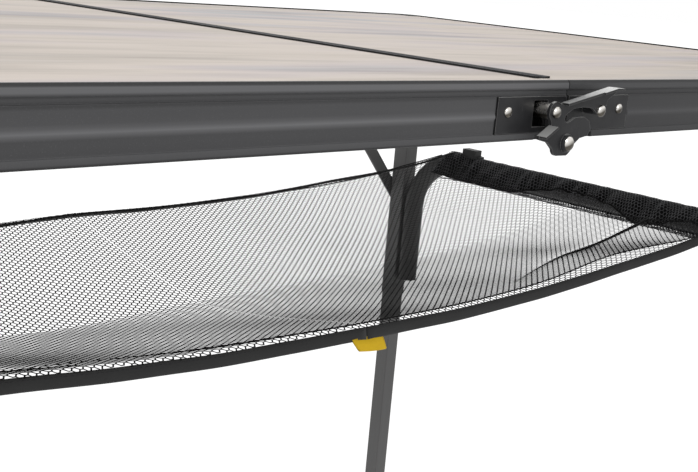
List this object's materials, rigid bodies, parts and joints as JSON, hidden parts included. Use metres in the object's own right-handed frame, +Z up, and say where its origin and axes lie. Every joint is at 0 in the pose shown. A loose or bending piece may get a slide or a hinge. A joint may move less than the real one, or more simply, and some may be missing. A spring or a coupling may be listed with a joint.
{
  "type": "camp kitchen table",
  "caption": "Folding camp kitchen table: two framed laminate halves hinged at a seam, edge latches, telescopic braced leg frames and a hanging net shelf.",
  "frame": {"origin": "on the floor, under the middle of the top", "axes": "+X along the length to the right half, +Y to the back, +Z up"},
  "size_m": [1.2, 0.7346, 0.7],
  "materials": {
    "top_laminate": "pale greige wood-look laminate with faint long streaks, satin",
    "rail_aluminium": "anthracite satin powder coat on an extruded profile",
    "tube_steel": "dark grey-brown powder coat",
    "latch_steel": "black satin coat, worn bright on bent edges",
    "nickel": "bright nickel plate",
    "black_plastic": "moulded, satin",
    "rubber": "matt",
    "net_fabric": "black open knitted polyester net with woven binding",
    "tag_fabric": "yellow woven label, blank"
  },
  "bodies": {
    "left_half": {"left_top_panel": "top_laminate", "left_end_rail": "rail_aluminium", "left_seam_rail": "rail_aluminium", "left_net": "net_fabric", "left_front_rail": "rail_aluminium", "left_front_corner_cap": "black_plastic", "left_front_leg_bracket": "latch_steel", "left_front_brace_pin": "nickel", "left_front_hinge_leaf": "latch_steel", "left_back_rail": "rail_aluminium", "left_back_corner_cap": "black_plastic", "left_back_leg_bracket": "latch_steel", "left_back_brace_pin": "nickel", "left_back_hinge_leaf": "latch_steel", "front_latch_base_plate": "latch_steel", "front_latch_post": "nickel", "front_hinge_pin": "nickel", "back_latch_base_plate": "latch_steel", "back_latch_post": "nickel", "back_hinge_pin": "nickel"},
    "right_half": {"right_top_panel": "top_laminate", "right_end_rail": "rail_aluminium", "right_seam_rail": "rail_aluminium", "right_net": "net_fabric", "right_front_rail": "rail_aluminium", "right_front_corner_cap": "black_plastic", "right_front_leg_bracket": "latch_steel", "right_front_brace_pin": "nickel", "right_front_hinge_leaf": "latch_steel", "right_back_rail": "rail_aluminium", "right_back_corner_cap": "black_plastic", "right_back_leg_bracket": "latch_steel", "right_back_brace_pin": "nickel", "right_back_hinge_leaf": "latch_steel", "front_latch_catch_plate": "latch_steel", "back_latch_catch_plate": "latch_steel"},
    "front_latch": {"front_latch_lever": "latch_steel"},
    "back_latch": {"back_latch_lever": "latch_steel"},
    "left_leg_frame": {"left_front_leg": "tube_steel", "left_back_leg": "tube_steel", "left_shelf_bar": "tube_steel", "left_front_net_clip": "black_plastic", "left_back_net_clip": "black_plastic"},
    "left_front_sliding_leg": {"left_front_lower_leg": "tube_steel", "left_front_foot": "rubber"},
    "left_front_stay": {"left_front_brace": "tube_steel"},
    "left_back_sliding_leg": {"left_back_lower_leg": "tube_steel", "left_back_foot": "rubber"},
    "left_back_stay": {"left_back_brace": "tube_steel"},
    "right_leg_frame": {"right_front_leg": "tube_steel", "right_back_leg": "tube_steel", "right_shelf_bar": "tube_steel", "right_front_net_clip": "black_plastic", "right_back_net_clip": "black_plastic"},
    "right_front_sliding_leg": {"right_front_lower_leg": "tube_steel", "right_front_foot": "rubber"},
    "right_front_stay": {"right_front_brace": "tube_steel"},
    "right_back_sliding_leg": {"right_back_lower_leg": "tube_steel", "right_back_foot": "rubber"},
    "right_back_stay": {"right_back_brace": "tube_steel"}
  },
  "joints": [
    {"name": "center_fold", "type": "hinge", "parent": "left_half", "child": "right_half", "pos_m": [0, 0, 0.6645], "axis": [0, 1, 0], "range_deg": [0, 180], "deforming": ["left_net", "right_net"]},
    {"name": "left_leg_fold", "type": "hinge", "parent": "left_half", "child": "left_leg_frame", "pos_m": [-0.56, 0, 0.6805], "axis": [0, -1, 0], "range_deg": [0, 90]},
    {"name": "left_front_leg_slide", "type": "slide", "parent": "left_leg_frame", "child": "left_front_sliding_leg", "axis": [0, 0, 1], "range_m": [0, 0.2956]},
    {"name": "left_front_brace_fold", "type": "hinge", "parent": "left_leg_frame", "child": "left_front_stay", "pos_m": [-0.56, -0.2495, 0.4635], "axis": [0, 1, 0], "range_deg": [0, 139.5]},
    {"name": "left_back_leg_slide", "type": "slide", "parent": "left_leg_frame", "child": "left_back_sliding_leg", "axis": [0, 0, 1], "range_m": [0, 0.2956]},
    {"name": "left_back_brace_fold", "type": "hinge", "parent": "left_leg_frame", "child": "left_back_stay", "pos_m": [-0.56, 0.2495, 0.4635], "axis": [0, 1, 0], "range_deg": [0, 139.5]},
    {"name": "right_leg_fold", "type": "hinge", "parent": "right_half", "child": "right_leg_frame", "pos_m": [0.56, 0, 0.6805], "axis": [0, 1, 0], "range_deg": [0, 90]},
    {"name": "right_front_leg_slide", "type": "slide", "parent": "right_leg_frame", "child": "right_front_sliding_leg", "axis": [0, 0, 1], "range_m": [0, 0.2956]},
    {"name": "right_front_brace_fold", "type": "hinge", "parent": "right_leg_frame", "child": "right_front_stay", "pos_m": [0.56, -0.308, 0.4635], "axis": [0, -1, 0], "range_deg": [0, 139.5]},
    {"name": "right_back_leg_slide", "type": "slide", "parent": "right_leg_frame", "child": "right_back_sliding_leg", "axis": [0, 0, 1], "range_m": [0, 0.2956]},
    {"name": "right_back_brace_fold", "type": "hinge", "parent": "right_leg_frame", "child": "right_back_stay", "pos_m": [0.56, 0.308, 0.4635], "axis": [0, -1, 0], "range_deg": [0, 139.5]},
    {"name": "front_latch_turn", "type": "hinge", "parent": "left_half", "child": "front_latch", "pos_m": [-0.026, -0.3605, 0.683], "axis": [0, -1, 0], "range_deg": [0, 70]},
    {"name": "back_latch_turn", "type": "hinge", "parent": "left_half", "child": "back_latch", "pos_m": [-0.026, 0.3605, 0.683], "axis": [0, -1, 0], "range_deg": [0, 70]}
  ],
  "couplings": [
    {"joint": "left_leg_fold", "follows": "center_fold", "ratio": 0.5},
    {"joint": "left_front_leg_slide", "follows": "center_fold", "m_per_rad": 0.094061},
    {"joint": "left_front_brace_fold", "follows": "center_fold", "ratio": 0.77444},
    {"joint": "left_back_leg_slide", "follows": "center_fold", "m_per_rad": 0.094061},
    {"joint": "left_back_brace_fold", "follows": "center_fold", "ratio": 0.77444},
    {"joint": "right_leg_fold", "follows": "center_fold", "ratio": 0.5},
    {"joint": "right_front_leg_slide", "follows": "center_fold", "m_per_rad": 0.094061},
    {"joint": "right_front_brace_fold", "follows": "center_fold", "ratio": 0.77444},
    {"joint": "right_back_leg_slide", "follows": "center_fold", "m_per_rad": 0.094061},
    {"joint": "right_back_brace_fold", "follows": "center_fold", "ratio": 0.77444}
  ]
}
